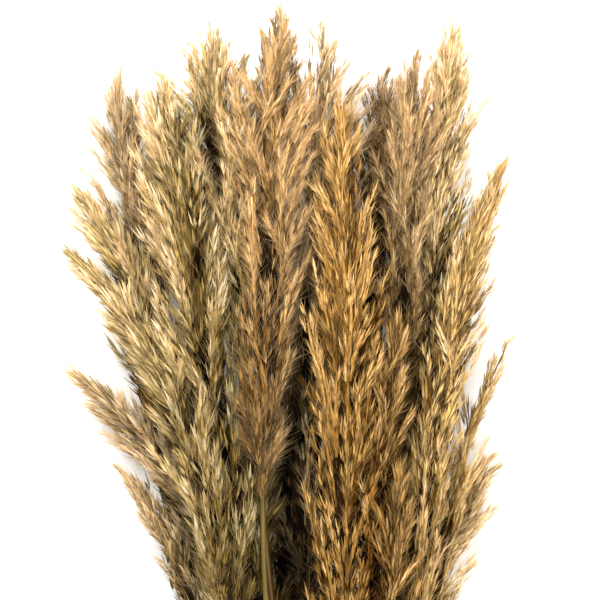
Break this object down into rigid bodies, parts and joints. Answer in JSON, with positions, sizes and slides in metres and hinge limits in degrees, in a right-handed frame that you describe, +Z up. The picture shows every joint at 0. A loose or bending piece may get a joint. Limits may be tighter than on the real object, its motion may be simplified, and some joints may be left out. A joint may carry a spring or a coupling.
{
  "type": "bunch of dried reeds",
  "caption": "Tied bunch of dried reeds lying flat, with straw stems that fan out from a twine tie to long feathery plumes.",
  "frame": {"origin": "the middle of the underside of the bunch, on the surface that it lies on", "axes": "+Y along the stems from the cut ends to the plume tips, +Z up from the surface, X across the bunch"},
  "size_m": [0.313, 0.85, 0.1449],
  "materials": {
    "straw": "dry, faintly glossy straw, yellow-green to tan",
    "plume": "dry, feathery and silky, cream to golden brown",
    "twine": "matt natural fibre"
  },
  "bodies": {
    "root": {"stem_01": "straw", "stem_02": "straw", "stem_03": "straw", "stem_04": "straw", "stem_05": "straw", "stem_06": "straw", "stem_07": "straw", "stem_08": "straw", "stem_09": "straw", "stem_10": "straw", "stem_11": "straw", "stem_12": "straw", "stem_13": "straw", "stem_14": "straw", "stem_15": "straw", "stem_16": "straw", "stem_17": "straw", "stem_18": "straw", "stem_19": "straw", "stem_20": "straw", "stem_21": "straw", "stem_22": "straw", "stem_23": "straw", "plume_01": "plume", "plume_02": "plume", "plume_03": "plume", "plume_04": "plume", "plume_05": "plume", "plume_06": "plume", "plume_07": "plume", "plume_08": "plume", "plume_09": "plume", "plume_10": "plume", "plume_11": "plume", "plume_12": "plume", "plume_13": "plume", "plume_14": "plume", "plume_15": "plume", "plume_16": "plume", "plume_17": "plume", "plume_18": "plume", "plume_19": "plume", "plume_20": "plume", "plume_21": "plume", "plume_22": "plume", "plume_23": "plume", "tie": "twine"}
  },
  "joints": []
}
